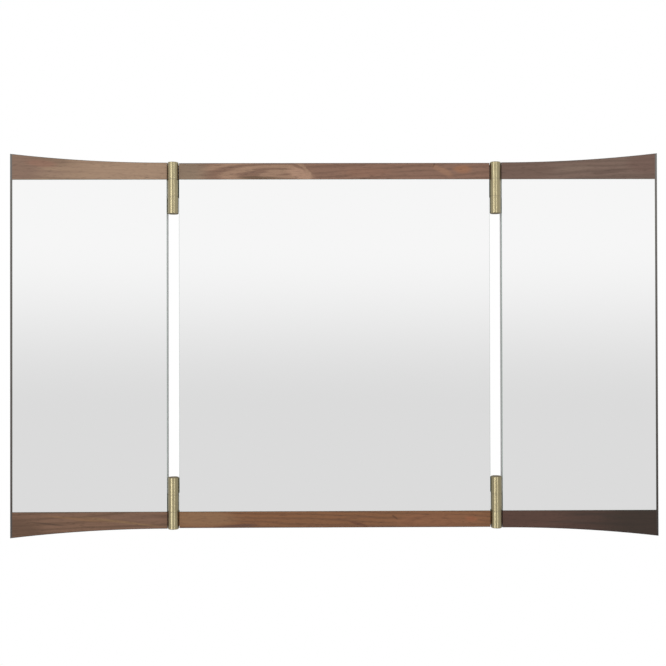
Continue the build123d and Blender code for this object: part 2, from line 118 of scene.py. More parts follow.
# Each mark is (X, Z, half length, half height, turn in degrees, colour, strength): a streak, patch
# or small dark knot on the rail, in metres on the rail's face. The broad patches at the wing
# rails' outer ends are darker than the rail's tone. A figure is a nest of rings like the long
# closed arches of a flat-sawn board: (X, Z, length to the left, length to the right, half height,
# rings, dark, light, strength).
RAILS = {
    "left_top_rail": {
        "log": (-0.9, 0.030, 0.040),
        "lean": (0.030, 0.012),
        "deep": "#765D4E",
        "marks": [
            (-0.575, 0.092, 0.060, 0.040, 0, "#7C6254", 0.75),
            (-0.520, 0.105, 0.050, 0.012, 6, "#78604F", 0.70),
            (-0.533, 0.099, 0.034, 0.009, 8, "#8C6756", 0.70),
            (-0.515, 0.080, 0.045, 0.008, 3, "#8F7463", 0.50),
            (-0.370, 0.085, 0.150, 0.030, 0, "#A2866F", 0.70),
        ],
        "figures": [],
    },
    "centre_top_rail": {
        "log": (0.3, 0.040, 0.150),
        "lean": (-0.020, 0.030),
        "deep": "#64493A",
        "marks": [
            (-0.285, 0.085, 0.075, 0.060, 0, "#85725F", 0.85),
            (-0.062, 0.079, 0.030, 0.014, 24, "#A98670", 0.85),
            (-0.135, 0.0725, 0.055, 0.004, 0, "#5F4A37", 0.75),
            (0.181, 0.0936, 0.0022, 0.0060, 10, "#4E3526", 0.90),
            (0.196, 0.0850, 0.026, 0.0065, 24, "#9D755B", 0.60),
            (0.232, 0.0870, 0.022, 0.0090, 0, "#9B6B4C", 0.65),
            (0.060, 0.0820, 0.060, 0.0100, 0, "#8E6753", 0.45),
        ],
        "figures": [(-0.078, 0.0800, 0.260, 0.046, 0.030, 3.6, "#7F6250", "#A6866E", 0.60)],
    },
    "right_top_rail": {
        "log": (0.2, 0.060, 0.020),
        "lean": (-0.016, -0.022),
        "deep": "#56453B",
        "marks": [
            (0.340, 0.085, 0.080, 0.030, 0, "#6A5347", 0.70),
            (0.505, 0.083, 0.050, 0.005, -6, "#5B473D", 0.65),
            (0.440, 0.090, 0.045, 0.007, -4, "#7E6A5C", 0.50),
            (0.570, 0.100, 0.045, 0.030, 0, "#684E44", 0.60),
        ],
        "figures": [],
    },
    "left_bottom_rail": {
        "log": (0.1, 0.045, -0.520),
        "lean": (0.012, 0.055),
        "deep": "#503A2B",
        "marks": [
            (-0.585, -0.575, 0.080, 0.040, 0, "#5A4232", 0.70),
            (-0.385, -0.5530, 0.095, 0.0030, 6.3, "#8C6D4B", 0.55),
            (-0.470, -0.5480, 0.080, 0.0030, 5, "#8E6A48", 0.45),
            (-0.520, -0.5560, 0.050, 0.0020, 4, "#4E3A2C", 0.60),
            (-0.360, -0.5450, 0.060, 0.0080, 0, "#80614F", 0.50),
        ],
        "figures": [],
    },
    "centre_bottom_rail": {
        "log": (0.2, 0.035, -0.630),
        "lean": (0.020, 0.018),
        "deep": "#5A3C29",
        "marks": [
            (-0.245, -0.547, 0.085, 0.022, 0, "#8C6A4C", 0.75),
            (-0.178, -0.5610, 0.050, 0.0055, -4, "#533A32", 0.80),
            (0.190, -0.550, 0.110, 0.020, 0, "#875A3E", 0.55),
            (0.110, -0.5455, 0.0090, 0.0022, 35, "#52331F", 0.75),
            (0.047, -0.5580, 0.026, 0.0035, 12, "#5A3626", 0.70),
            (0.250, -0.5500, 0.014, 0.0065, 0, "#955A3C", 0.55),
            (0.030, -0.5480, 0.050, 0.0030, -5, "#6B4832", 0.50),
            (0.000, -0.5660, 0.420, 0.0110, 0, "#6A4833", 0.55),
        ],
        "figures": [(0.190, -0.553, 0.090, 0.035, 0.015, 1.7, "#6B452F", "#8F6244", 0.45)],
    },
    "right_bottom_rail": {
        "log": (0.4, 0.050, -0.500),
        "lean": (0.014, -0.018),
        "deep": "#2F2620",
        "marks": [
            (0.350, -0.548, 0.110, 0.035, 0, "#553B30", 0.80),
            (0.590, -0.560, 0.140, 0.060, 0, "#30241B", 0.85),
            (0.420, -0.556, 0.060, 0.0040, -3, "#48372E", 0.50),
        ],
        "figures": [],
    },
}


def walnut(name, tone, rail):
    """Black walnut, planed and oiled, so it shows a low even sheen and open dark pores."""
    material, tree, output = new_material(name)
    place = add_node(tree, "ShaderNodeTexCoord")
    face = add_node(tree, "ShaderNodeSeparateXYZ", {0: place.outputs["Normal"]})

    # The grain runs along X and wanders a few millimetres in a hand's length
    drift_place = add_node(
        tree, "ShaderNodeMapping", {"Vector": place.outputs["Object"], "Scale": (7.0, 12.0, 38.0)}
    )
    drift = add_node(
        tree,
        "ShaderNodeTexNoise",
        {"Vector": drift_place.outputs[0], "Scale": 1.0, "Detail": 3.0, "Roughness": 0.45},
    )
    drift_centred = add_node(
        tree,
        "ShaderNodeVectorMath",
        {0: drift.outputs["Color"], 1: (0.5, 0.5, 0.5)},
        operation="SUBTRACT",
    )
    wavy = add_node(
        tree,
        "ShaderNodeVectorMath",
        {0: drift_centred.outputs[0], 1: (0.030, 0.012, 0.009), 2: place.outputs["Object"]},
        operation="MULTIPLY_ADD",
    )

    # Growth rings, 6 mm apart, about the log's own leaning middle line
    log_place = add_node(
        tree,
        "ShaderNodeMapping",
        {
            "Vector": wavy.outputs[0],
            "Location": rail["log"],
            "Rotation": (0.0, rail["lean"][0], rail["lean"][1]),
        },
        vector_type="TEXTURE",
    )
    rings = add_node(
        tree,
        "ShaderNodeTexWave",
        {"Vector": log_place.outputs[0], "Scale": 52.0},
        wave_type="RINGS",
        rings_direction="X",
    )
    late_wood = add_node(
        tree,
        "ShaderNodeMapRange",
        {"Value": rings.outputs["Fac"], "From Min": 0.35, "From Max": 1.0, "To Max": 0.42},
        interpolation_type="SMOOTHSTEP",
    )
    colour = add_node(
        tree,
        "ShaderNodeMix",
        {0: late_wood.outputs[0], 6: tone, 7: linear(rail["deep"])},
        data_type="RGBA",
    ).outputs[2]

    for x, z, tail, nose, half_height, count, dark, light, strength in rail["figures"]:
        nest_place = add_node(
            tree,
            "ShaderNodeMapping",
            {
                "Vector": wavy.outputs[0],
                "Location": (x, 0.0, z),
                "Scale": (1.0, 10.0, half_height),
            },
            vector_type="TEXTURE",
        )
        nest_parts = add_node(tree, "ShaderNodeSeparateXYZ", {0: nest_place.outputs[0]})
        # The arches are blunt at the nose and drawn out at the tail
        away = add_node(tree, "ShaderNodeMath", {0: nest_parts.outputs[0]}, operation="ABSOLUTE")
        evenly = add_node(
            tree,
            "ShaderNodeMath",
            {0: nest_parts.outputs[0], 1: (1 / nose + 1 / tail) / 2},
            operation="MULTIPLY",
        )
        along = add_node(
            tree,
            "ShaderNodeMath",
            {0: away.outputs[0], 1: (1 / nose - 1 / tail) / 2, 2: evenly.outputs[0]},
            operation="MULTIPLY_ADD",
        )
        drop = add_node(
            tree, "ShaderNodeCombineXYZ", {0: along.outputs[0], 2: nest_parts.outputs[2]}
        )
        ragged = add_node(
            tree,
            "ShaderNodeTexNoise",
            {"Vector": drop.outputs[0], "Scale": 1.7, "Detail": 2.0},
        )
        ragged_centred = add_node(
            tree,
            "ShaderNodeVectorMath",
            {0: ragged.outputs["Color"], 1: (0.5, 0.5, 0.5)},
            operation="SUBTRACT",
        )
        bent = add_node(
            tree,
            "ShaderNodeVectorMath",
            {0: ragged_centred.outputs[0], 1: (0.6, 0.0, 0.6), 2: drop.outputs[0]},
            operation="MULTIPLY_ADD",
        )
        nest = add_node(
            tree,
            "ShaderNodeTexWave",
            {"Vector": bent.outputs[0], "Scale": count * ONE_RING},
            wave_type="RINGS",
            rings_direction="SPHERICAL",
        )
        nest_colour = add_node(
            tree,
            "ShaderNodeValToRGB",
            {0: nest.outputs["Fac"]},
            ramp=[(0.15, linear(dark)), (0.75, linear(light))],
        )
        reach = add_node(
            tree, "ShaderNodeTexGradient", {0: bent.outputs[0]}, gradient_type="SPHERICAL"
        )
        share = add_node(
            tree,
            "ShaderNodeMapRange",
            {"Value": reach.outputs["Fac"], "From Max": 0.35, "To Max": strength},
            interpolation_type="SMOOTHSTEP",
        )
        colour = add_node(
            tree,
            "ShaderNodeMix",
            {0: share.outputs[0], 6: colour, 7: nest_colour.outputs[0]},
            data_type="RGBA",
        ).outputs[2]

    for x, z, half_length, half_height, turn, mark, strength in rail["marks"]:
        mark_place = add_node(
            tree,
            "ShaderNodeMapping",
            {
                "Vector": wavy.outputs[0],
                "Location": (x, 0.0, z),
                "Rotation": (0.0, math.radians(turn), 0.0),
                "Scale": (half_length, 10.0, half_height),
            },
            vector_type="TEXTURE",
        )
        reach = add_node(
            tree, "ShaderNodeTexGradient", {0: mark_place.outputs[0]}, gradient_type="SPHERICAL"
        )
        share = add_node(
            tree,
            "ShaderNodeMapRange",
            {"Value": reach.outputs["Fac"], "From Max": 0.6, "To Max": strength},
            interpolation_type="SMOOTHSTEP",
        )
        colour = add_node(
            tree,
            "ShaderNodeMix",
            {0: share.outputs[0], 6: colour, 7: linear(mark)},
            data_type="RGBA",
        ).outputs[2]

    # Fibre streaks 2 to 3 mm apart and a hand long, then pores, which are 0.3 mm wide in the wood
    # and drawn about three times as coarse so that they show
    streak_place = add_node(
        tree, "ShaderNodeMapping", {"Vector": wavy.outputs[0], "Scale": (7.0, 120.0, 420.0)}
    )
    streaks = add_node(
        tree,
        "ShaderNodeTexNoise",
        {"Vector": streak_place.outputs[0], "Scale": 1.0, "Detail": 4.0, "Roughness": 0.6},
    )
    streak_shade = add_node(
        tree,
        "ShaderNodeMapRange",
        {
            "Value": streaks.outputs[0],
            "From Min": 0.3,
            "From Max": 0.7,
            "To Min": 0.91,
            "To Max": 1.06,
        },
    )
    pore_place = add_node(
        tree, "ShaderNodeMapping", {"Vector": wavy.outputs[0], "Scale": (80.0, 500.0, 1100.0)}
    )
    pores = add_node(
        tree, "ShaderNodeTexNoise", {"Vector": pore_place.outputs[0], "Scale": 1.0, "Detail": 1.0}
    )
    pore_shade = add_node(
        tree,
        "ShaderNodeMapRange",
        {
            "Value": pores.outputs[0],
            "From Min": 0.60,
            "From Max": 0.72,
            "To Min": 1.0,
            "To Max": 0.62,
        },
    )
    grain_shade = add_node(
        tree,
        "ShaderNodeMath",
        {0: streak_shade.outputs[0], 1: pore_shade.outputs[0]},
        operation="MULTIPLY",
    )

    # End grain drinks more oil and goes dark. The eased edges, which face two ways, get painted
    # shade.
    edge_face = add_node(
        tree,
        "ShaderNodeMath",
        {0: face.outputs[1], 1: face.outputs[2]},
        operation="MULTIPLY",
    )
    eased = add_node(tree, "ShaderNodeMath", {0: edge_face.outputs[0]}, operation="ABSOLUTE")
    # Painted shade: the eased edges are drawn at three tenths of the wood's colour
    eased_painted_shade = add_node(
        tree,
        "ShaderNodeMapRange",
        {
            "Value": eased.outputs[0],
            "From Min": 0.25,
            "From Max": 0.45,
            "To Min": 1.0,
            "To Max": 0.3,
        },
    )
    end_face = add_node(tree, "ShaderNodeMath", {0: face.outputs[0]}, operation="ABSOLUTE")
    end_shade = add_node(
        tree,
        "ShaderNodeMapRange",
        {
            "Value": end_face.outputs[0],
            "From Min": 0.6,
            "From Max": 0.9,
            "To Min": 1.0,
            "To Max": 0.55,
        },
    )
    end_grain_and_painted_shade = add_node(
        tree,
        "ShaderNodeMath",
        {0: eased_painted_shade.outputs[0], 1: end_shade.outputs[0]},
        operation="MULTIPLY",
    )
    shade = add_node(
        tree,
        "ShaderNodeMath",
        {0: grain_shade.outputs[0], 1: end_grain_and_painted_shade.outputs[0]},
        operation="MULTIPLY",
    )
    shaded = add_node(
        tree,
        "ShaderNodeVectorMath",
        {0: colour, "Scale": shade.outputs[0]},
        operation="SCALE",
    )

    roughness = add_node(
        tree,
        "ShaderNodeMapRange",
        {
            "Value": streaks.outputs[0],
            "From Min": 0.3,
            "From Max": 0.7,
            "To Min": 0.50,
            "To Max": 0.40,
        },
    )
    bump = add_node(
        tree,
        "ShaderNodeBump",
        {"Strength": 0.5, "Distance": 0.00012, "Height": grain_shade.outputs[0]},
    )
    shader = add_node(
        tree,
        "ShaderNodeBsdfPrincipled",
        {
            "Base Color": shaded.outputs[0],
            "Roughness": roughness.outputs[0],
            "IOR": 1.46,
            "Specular IOR Level": 0.4,
            "Normal": bump.outputs[0],
        },
    )
    tree.links.new(shader.outputs[0], output.inputs[0])
    return material


def mirror_glass(silver, edge):
    """Silvered float glass: the face mirrors the room, and the ground edges are grey-green."""
    material, tree, output = new_material("Silvered float glass, ground edges")
    place = add_node(tree, "ShaderNodeTexCoord")
    face = add_node(tree, "ShaderNodeSeparateXYZ", {0: place.outputs["Normal"]})
    silvered = add_node(
        tree, "ShaderNodeMath", {0: face.outputs[1], 1: -0.9}, operation="LESS_THAN"
    )
    # Wiping leaves long faint smears, a few centimetres wide
    smear_place = add_node(
        tree,
        "ShaderNodeMapping",
        {
            "Vector": place.outputs["Object"],
            "Rotation": (0.0, math.radians(28), 0.0),
            "Scale": (6.0, 6.0, 30.0),
        },
    )
    smears = add_node(
        tree,
        "ShaderNodeTexNoise",
        {"Vector": smear_place.outputs[0], "Scale": 1.0, "Detail": 3.0},
    )
    polish = add_node(
        tree,
        "ShaderNodeMapRange",
        {
            "Value": smears.outputs[0],
            "From Min": 0.45,
            "From Max": 0.8,
            "To Min": 0.0,
            "To Max": 0.03,
        },
    )
    grinding = add_node(
        tree,
        "ShaderNodeTexNoise",
        {"Vector": place.outputs["Object"], "Scale": 900.0, "Detail": 1.0},
    )
    edge_colour = add_node(
        tree,
        "ShaderNodeMix",
        {0: grinding.outputs[0], 6: edge, 7: linear("#8CA199")},
        data_type="RGBA",
    )
    colour = add_node(
        tree,
        "ShaderNodeMix",
        {0: silvered.outputs[0], 6: edge_colour.outputs[2], 7: silver},
        data_type="RGBA",
    )
    roughness = add_node(
        tree,
        "ShaderNodeMix",
        {0: silvered.outputs[0], 2: 0.32, 3: polish.outputs[0]},
        data_type="FLOAT",
    )
    shader = add_node(
        tree,
        "ShaderNodeBsdfPrincipled",
        {
            "Base Color": colour.outputs[2],
            "Metallic": silvered.outputs[0],
            "Roughness": roughness.outputs[0],
            "IOR": 1.52,
        },
    )
    tree.links.new(shader.outputs[0], output.inputs[0])
    return material


def stained_strip(name, top, foot):
    """Hardwood edging stained dark grey-brown, with its grain upright and a thin matt lacquer, and
    painted shade that darkens it from its top to its foot.
    """
    material, tree, output = new_material(name)
    place = add_node(tree, "ShaderNodeTexCoord")
    height = add_node(tree, "ShaderNodeSeparateXYZ", {0: place.outputs["Object"]})
    grain_place = add_node(
        tree,
        "ShaderNodeMapping",
        {"Vector": place.outputs["Object"], "Scale": (900.0, 420.0, 14.0)},
    )
    grain = add_node(
        tree,
        "ShaderNodeTexNoise",
        {"Vector": grain_place.outputs[0], "Scale": 1.0, "Detail": 3.0},
    )
    # Painted shade: the colour runs from the top colour down to the darker foot colour, as under a
    # light from above
    painted_shade_by_height = add_node(
        tree,
        "ShaderNodeMapRange",
        {
            "Value": height.outputs[2],
            "From Min": cad_low.z,
            "From Max": cad_high.z,
        },
    )
    tone = add_node(
        tree,
        "ShaderNodeMix",
        {0: painted_shade_by_height.outputs[0], 6: linear(foot), 7: linear(top)},
        data_type="RGBA",
    )
    shade = add_node(
        tree,
        "ShaderNodeMapRange",
        {
            "Value": grain.outputs[0],
            "From Min": 0.3,
            "From Max": 0.7,
            "To Min": 0.82,
            "To Max": 1.16,
        },
    )
    shaded = add_node(
        tree,
        "ShaderNodeVectorMath",
        {0: tone.outputs[2], "Scale": shade.outputs[0]},
        operation="SCALE",
    )
    bump = add_node(
        tree,
        "ShaderNodeBump",
        {"Strength": 0.5, "Distance": 0.0001, "Height": grain.outputs[0]},
    )
    shader = add_node(
        tree,
        "ShaderNodeBsdfPrincipled",
        {
            "Base Color": shaded.outputs[0],
            "Roughness": 0.5,
            "IOR": 1.48,
            "Specular IOR Level": 0.35,
            "Normal": bump.outputs[0],
        },
    )
    tree.links.new(shader.outputs[0], output.inputs[0])
    return material


def lacquered_board(grey):
    """Fibreboard sprayed with grey lacquer, which leaves a soft sheen and a fine orange peel."""
    material, tree, output = new_material("Fibreboard, sprayed grey lacquer")
    place = add_node(tree, "ShaderNodeTexCoord")
    clouds = add_node(
        tree,
        "ShaderNodeTexNoise",
        {"Vector": place.outputs["Object"], "Scale": 14.0, "Detail": 3.0},
    )
    # Droplets of lacquer flow out to bumps about 2 mm across
    peel = add_node(
        tree,
        "ShaderNodeTexNoise",
        {"Vector": place.outputs["Object"], "Scale": 480.0, "Detail": 1.0},
    )
    shade = add_node(
        tree,
        "ShaderNodeMapRange",
        {
            "Value": clouds.outputs[0],
            "From Min": 0.3,
            "From Max": 0.7,
            "To Min": 0.95,
            "To Max": 1.04,
        },
    )
    colour = add_node(
        tree, "ShaderNodeVectorMath", {0: grey[:3], "Scale": shade.outputs[0]}, operation="SCALE"
    )
    sheen = add_node(
        tree,
        "ShaderNodeMapRange",
        {"Value": clouds.outputs[0], "To Min": 0.36, "To Max": 0.46},
    )
    bump = add_node(
        tree,
        "ShaderNodeBump",
        {"Strength": 0.25, "Distance": 0.00015, "Height": peel.outputs[0]},
    )
    shader = add_node(
        tree,
        "ShaderNodeBsdfPrincipled",
        {
            "Base Color": colour.outputs[0],
            "Roughness": sheen.outputs[0],
            "IOR": 1.5,
            "Normal": bump.outputs[0],
        },
    )
    tree.links.new(shader.outputs[0], output.inputs[0])
    return material


def drawn_brass(name, colour, dull, roughness):
    """Brass or bronze drawn to bar: fine lines under a clear gloss, and dull, darker ends."""
    material, tree, output = new_material(name)
    place = add_node(tree, "ShaderNodeTexCoord")
    face = add_node(tree, "ShaderNodeSeparateXYZ", {0: place.outputs["Normal"]})
    # Draw lines are finer than a tenth of a millimetre, and are drawn at about half a millimetre
    line_place = add_node(
        tree,
        "ShaderNodeMapping",
        {"Vector": place.outputs["Object"], "Scale": (1800.0, 1800.0, 9.0)},
    )
    lines = add_node(
        tree,
        "ShaderNodeTexNoise",
        {"Vector": line_place.outputs[0], "Scale": 1.0, "Detail": 2.0},
    )
    tarnish = add_node(
        tree,
        "ShaderNodeTexNoise",
        {"Vector": place.outputs["Object"], "Scale": 60.0, "Detail": 3.0},
    )
    line_shade = add_node(
        tree,
        "ShaderNodeMapRange",
        {
            "Value": lines.outputs[0],
            "From Min": 0.3,
            "From Max": 0.7,
            "To Min": 0.97,
            "To Max": 1.03,
        },
    )
    tarnish_shade = add_node(
        tree,
        "ShaderNodeMapRange",
        {
            "Value": tarnish.outputs[0],
            "From Min": 0.3,
            "From Max": 0.7,
            "To Min": 0.97,
            "To Max": 1.03,
        },
    )
    # The ends, which face up and down, are drawn in the darker dull colour
    end_face = add_node(tree, "ShaderNodeMath", {0: face.outputs[2]}, operation="ABSOLUTE")
    dullness = add_node(
        tree,
        "ShaderNodeMapRange",
        {"Value": end_face.outputs[0], "From Min": 0.5, "From Max": 0.95, "To Max": 0.9},
    )
    tone = add_node(
        tree,
        "ShaderNodeMix",
        {0: dullness.outputs[0], 6: colour, 7: linear(dull)},
        data_type="RGBA",
    )
    shade = add_node(
        tree,
        "ShaderNodeMath",
        {0: line_shade.outputs[0], 1: tarnish_shade.outputs[0]},
        operation="MULTIPLY",
    )
    shaded = add_node(
        tree,
        "ShaderNodeVectorMath",
        {0: tone.outputs[2], "Scale": shade.outputs[0]},
        operation="SCALE",
    )
    satin = add_node(
        tree,
        "ShaderNodeMapRange",
        {
            "Value": lines.outputs[0],
            "From Min": 0.3,
            "From Max": 0.7,
            "To Min": roughness - 0.04,
            "To Max": roughness + 0.04,
        },
    )
    # The ends, which face up and down, are drawn darker and throw back little, even at a low angle
    bright = add_node(
        tree, "ShaderNodeMath", {0: 1.0, 1: dullness.outputs[0]}, operation="SUBTRACT"
    )
    sheen = add_node(
        tree,
        "ShaderNodeMix",
        {0: dullness.outputs[0], 2: satin.outputs[0], 3: 0.9},
        data_type="FLOAT",
    )
    bump = add_node(
        tree,
        "ShaderNodeBump",
        {"Strength": 0.08, "Distance": 0.00003, "Height": lines.outputs[0]},
    )
    shader = add_node(
        tree,
        "ShaderNodeBsdfPrincipled",
        {
            "Base Color": shaded.outputs[0],
            "Metallic": bright.outputs[0],
            "Roughness": sheen.outputs[0],
            "Coat Weight": bright.outputs[0],
            "Coat Roughness": 0.2,
            "Normal": bump.outputs[0],
        },
    )
    tree.links.new(shader.outputs[0], output.inputs[0])
    return material


def plated_metal(name, light, dark, roughness):
    """Metal turned and then plated or left bright: a cool even shine with a cloudy bloom."""
    material, tree, output = new_material(name)
    place = add_node(tree, "ShaderNodeTexCoord")
    bloom = add_node(
        tree,
        "ShaderNodeTexNoise",
        {"Vector": place.outputs["Object"], "Scale": 420.0, "Detail": 3.0},
    )
    colour = add_node(
        tree,
        "ShaderNodeMix",
        {0: bloom.outputs[0], 6: linear(dark), 7: linear(light)},
        data_type="RGBA",
    )
    shine = add_node(
        tree,
        "ShaderNodeMapRange",
        {"Value": bloom.outputs[0], "To Min": roughness - 0.08, "To Max": roughness + 0.08},
    )
    bump = add_node(
        tree,
        "ShaderNodeBump",
        {"Strength": 0.2, "Distance": 0.00003, "Height": bloom.outputs[0]},
    )
    shader = add_node(
        tree,
        "ShaderNodeBsdfPrincipled",
        {
            "Base Color": colour.outputs[2],
            "Metallic": 1.0,
            "Roughness": shine.outputs[0],
            "Normal": bump.outputs[0],
        },
    )
    tree.links.new(shader.outputs[0], output.inputs[0])
    return material


def beech(name, along):
    """Steamed beech, planed and unfinished: pale pinkish tan with short dark ray flecks."""
    material, tree, output = new_material(name)
    place = add_node(tree, "ShaderNodeTexCoord")
    # Flecks are 2 to 4 mm long and half a millimetre wide, and lie along the grain
    fleck_scale = [260.0 if axis == along else 1500.0 for axis in "XYZ"]
    grain_scale = [5.0 if axis == along else 240.0 for axis in "XYZ"]
    grain_place = add_node(
        tree, "ShaderNodeMapping", {"Vector": place.outputs["Object"], "Scale": grain_scale}
    )
    grain = add_node(
        tree,
        "ShaderNodeTexNoise",
        {"Vector": grain_place.outputs[0], "Scale": 1.0, "Detail": 4.0, "Roughness": 0.6},
    )
    fleck_place = add_node(
        tree, "ShaderNodeMapping", {"Vector": place.outputs["Object"], "Scale": fleck_scale}
    )
    flecks = add_node(
        tree,
        "ShaderNodeTexNoise",
        {"Vector": fleck_place.outputs[0], "Scale": 1.0, "Detail": 0.0},
    )
    base = add_node(
        tree,
        "ShaderNodeValToRGB",
        {0: grain.outputs[0]},
        ramp=[(0.3, linear("#B68C63")), (0.7, linear("#D2AC82"))],
    )
    fleck_share = add_node(
        tree,
        "ShaderNodeMapRange",
        {"Value": flecks.outputs[0], "From Min": 0.62, "From Max": 0.7, "To Max": 0.7},
    )
    colour = add_node(
        tree,
        "ShaderNodeMix",
        {0: fleck_share.outputs[0], 6: base.outputs[0], 7: linear("#8A6040")},
        data_type="RGBA",
    )
    bump = add_node(
        tree,
        "ShaderNodeBump",
        {"Strength": 0.4, "Distance": 0.0001, "Height": grain.outputs[0]},
    )
    shader = add_node(
        tree,
        "ShaderNodeBsdfPrincipled",
        {
            "Base Color": colour.outputs[2],
            "Roughness": 0.62,
            "IOR": 1.5,
            "Specular IOR Level": 0.35,
            "Normal": bump.outputs[0],
        },
    )
    tree.links.new(shader.outputs[0], output.inputs[0])
    return material


def grained_plastic(name, light, dark, roughness, grain_mm, depth_mm):
    """Moulded rubber or foam with a fine grain: no clear reflection, only a soft broad sheen."""
    material, tree, output = new_material(name)
    place = add_node(tree, "ShaderNodeTexCoord")
    grain = add_node(
        tree,
        "ShaderNodeTexVoronoi",
        {"Vector": place.outputs["Object"], "Scale": 1000.0 / grain_mm},
    )
    dust = add_node(
        tree,
        "ShaderNodeTexNoise",
        {"Vector": place.outputs["Object"], "Scale": 90.0, "Detail": 4.0},
    )
    colour = add_node(
        tree,
        "ShaderNodeMix",
        {0: dust.outputs[0], 6: linear(dark), 7: linear(light)},
        data_type="RGBA",
    )
    bump = add_node(
        tree,
        "ShaderNodeBump",
        {"Strength": 0.5, "Distance": depth_mm / 1000.0, "Height": grain.outputs["Distance"]},
    )
    shader = add_node(
        tree,
        "ShaderNodeBsdfPrincipled",
        {
            "Base Color": colour.outputs[2],
            "Roughness": roughness,
            "IOR": 1.5,
            "Normal": bump.outputs[0],
        },
    )
    tree.links.new(shader.outputs[0], output.inputs[0])
    return material


def aimed(obj, place, target):
    """Stands an object at a place, looking at a target."""
    obj.location = place
    obj.rotation_euler = (Vector(target) - Vector(place)).to_track_quat("-Z", "Y").to_euler()


def soft_lamp(name, place, target, width, height, watts, receivers=None):
    """A softbox that lights but isn't seen. One with receivers lights only those pieces."""
    light = bpy.data.lights.new(name, "AREA")
    light.shape = "RECTANGLE"
    light.size = width
    light.size_y = height
    light.energy = watts
    lamp = bpy.data.objects.new(name, light)
    bpy.context.scene.collection.objects.link(lamp)
    aimed(lamp, place, target)
    lamp.visible_camera = False
    if receivers:
        lamp.light_linking.receiver_collection = receivers
    else:
        lamp.visible_glossy = False
    return lamp


class WoodColours(bpy.types.PropertyGroup):
    """Main tones of the six walnut rails, lightest at the top left and darkest at the bottom
    right.
    """

    left_top_rail: FloatVectorProperty(
        name="Left top rail",
        description="Main tone of the left wing's top rail",
        subtype="COLOR",
        size=3,
        min=0.0,
        max=1.0,
        default=linear("#957B65")[:3],
    )
    centre_top_rail: FloatVectorProperty(
        name="Centre top rail",
        description="Main tone of the centre panel's top rail",
        subtype="COLOR",
        size=3,
        min=0.0,
        max=1.0,
        default=linear("#846453")[:3],
    )
    right_top_rail: FloatVectorProperty(
        name="Right top rail",
        description="Main tone of the right wing's top rail",
        subtype="COLOR",
        size=3,
        min=0.0,
        max=1.0,
        default=linear("#745E52")[:3],
    )
    left_bottom_rail: FloatVectorProperty(
        name="Left bottom rail",
        description="Main tone of the left wing's bottom rail",
        subtype="COLOR",
        size=3,
        min=0.0,
        max=1.0,
        default=linear("#785A47")[:3],
    )
    centre_bottom_rail: FloatVectorProperty(
        name="Centre bottom rail",
        description="Main tone of the centre panel's bottom rail",
        subtype="COLOR",
        size=3,
        min=0.0,
        max=1.0,
        default=linear("#7F5638")[:3],
    )
    right_bottom_rail: FloatVectorProperty(
        name="Right bottom rail",
        description="Main tone of the right wing's bottom rail",
        subtype="COLOR",
        size=3,
        min=0.0,
        max=1.0,
        default=linear("#463128")[:3],
    )


class FittingColours(bpy.types.PropertyGroup):
    """Colours of the glass, the boards and the brass."""

    silver: FloatVectorProperty(
        name="Silvering",
        description="How much of each colour the mirror throws back",
        subtype="COLOR",
        size=3,
        min=0.0,
        max=1.0,
        default=(0.93, 0.93, 0.93),
    )
    glass_edge: FloatVectorProperty(
        name="Glass edge",
        description="Ground edge of the float glass",
        subtype="COLOR",
        size=3,
        min=0.0,
        max=1.0,
        default=linear("#B0BDB6")[:3],
    )
    board: FloatVectorProperty(
        name="Boards",
        description="Grey lacquer of the boards behind the glass",
        subtype="COLOR",
        size=3,
        min=0.0,
        max=1.0,
        default=linear("#A9A9A8")[:3],
    )
    brass: FloatVectorProperty(
        name="Brass",
        description="Satin brass of the hinges",
        subtype="COLOR",
        size=3,
        min=0.0,
        max=1.0,
        default=linear("#928764")[:3],
    )


class StageSizes(bpy.types.PropertyGroup):
    """Where the camera stands and how far down the floor is."""

    camera_place: FloatVectorProperty(
        name="Camera",
        description="Where the camera stands, from the middle of the line of wall screws",
        subtype="TRANSLATION",
        unit="LENGTH",
        size=3,
        default=(-0.0152, FRONT_Y - 1.65, MIDDLE_Z + 0.0122),
    )
    camera_turn: FloatProperty(
        name="Turn",
        description="How far the camera looks to the left of straight ahead",
        subtype="ANGLE",
        unit="ROTATION",
        default=-0.0073,
    )
    camera_tilt: FloatProperty(
        name="Tilt",
        description="How far the camera looks up",
        subtype="ANGLE",
        unit="ROTATION",
        default=0.0059,
    )
    camera_roll: FloatProperty(
        name="Roll",
        description="How far the camera leans over",
        subtype="ANGLE",
        unit="ROTATION",
        default=-0.0024,
    )
    lens_mm: FloatProperty(
        name="Lens",
        description="Focal length on a sensor 36 mm wide, in millimetres",
        default=48.98,
        min=10.0,
    )
    floor_drop: FloatProperty(
        name="Floor drop",
        description="How far the floor is below the origin",
        unit="LENGTH",
        default=1.5,
        min=0.7,
    )


